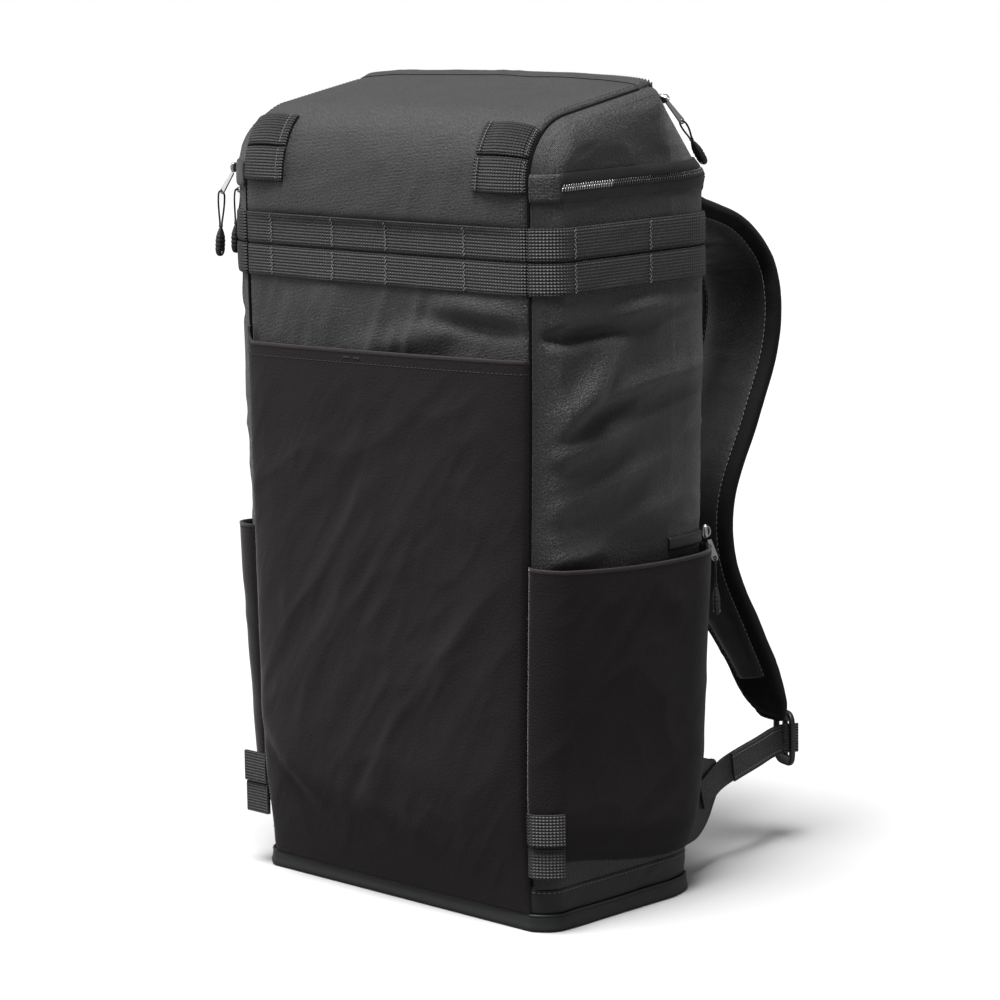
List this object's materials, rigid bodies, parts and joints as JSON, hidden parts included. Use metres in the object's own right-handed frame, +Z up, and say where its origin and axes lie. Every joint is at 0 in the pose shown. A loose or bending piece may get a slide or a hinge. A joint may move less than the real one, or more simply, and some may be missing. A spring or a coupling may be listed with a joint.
{
  "type": "camera backpack",
  "caption": "Tall soft camera backpack with stretch front and side pockets, webbing rows, zippers with cord pulls and two curved shoulder straps.",
  "frame": {"origin": "middle of the base's underside, on the floor", "axes": "+Z up along the height, -Y out of the front, shoulder straps on +Y, +X to the wearer's right-hand side pocket"},
  "size_m": [0.3868, 0.3856, 0.6555],
  "materials": {
    "cloth": "dark charcoal woven cloth with a fine sheen",
    "stretch": "brownish black matte stretch cloth",
    "webbing": "dark grey ribbed webbing and tape",
    "coated": "plain coated cloth, near black",
    "mesh": "grey satin lining cloth of the straps",
    "padding": "black padded cloth",
    "plastic": "black moulded, satin",
    "rubber": "dark moulded pull grips",
    "metal": "dark nickel zipper metal"
  },
  "bodies": {
    "root": {"base_welt": "coated", "base_band": "coated", "base_panel": "coated", "front_panel": "cloth", "back_top_panel": "cloth", "side_panel_right": "cloth", "side_panel_left": "cloth", "back_panel": "padding", "front_pocket": "stretch", "side_pocket_right": "stretch", "side_pocket_left": "stretch", "front_webbing_upper": "webbing", "side_webbing_upper_right": "webbing", "side_webbing_upper_left": "webbing", "front_webbing_lower": "webbing", "side_webbing_lower_right": "webbing", "side_webbing_lower_left": "webbing", "top_loop_right_upper": "webbing", "top_loop_left_upper": "webbing", "top_loop_right_lower": "webbing", "top_loop_left_lower": "webbing", "low_loop_right_upper": "webbing", "low_loop_left_upper": "webbing", "low_loop_right_lower": "webbing", "low_loop_left_lower": "webbing", "side_zip_right": "webbing", "zip_patch_right": "cloth", "side_zip_left": "webbing", "zip_patch_left": "cloth", "top_zip": "webbing", "left_pull_front_slider": "metal", "left_pull_front_puller": "metal", "left_pull_front_cord": "webbing", "left_pull_front_grip": "rubber", "left_pull_back_slider": "metal", "left_pull_back_puller": "metal", "left_pull_back_cord": "webbing", "left_pull_back_grip": "rubber", "pocket_pull_slider": "metal", "pocket_pull_puller": "metal", "pocket_pull_cord": "webbing", "pocket_pull_grip": "rubber", "top_pull_slider": "metal", "top_pull_puller": "metal", "top_pull_cord": "webbing", "top_pull_grip": "rubber", "strap_pad_right": "padding", "strap_face_right": "mesh", "buckle_right": "plastic", "webbing_anchor_right": "coated", "lower_webbing_right": "webbing", "webbing_tail_right": "webbing", "strap_pad_left": "padding", "strap_face_left": "mesh", "buckle_left": "plastic", "webbing_anchor_left": "coated", "lower_webbing_left": "webbing", "webbing_tail_left": "webbing", "pocket_tab_right": "coated"}
  },
  "joints": []
}
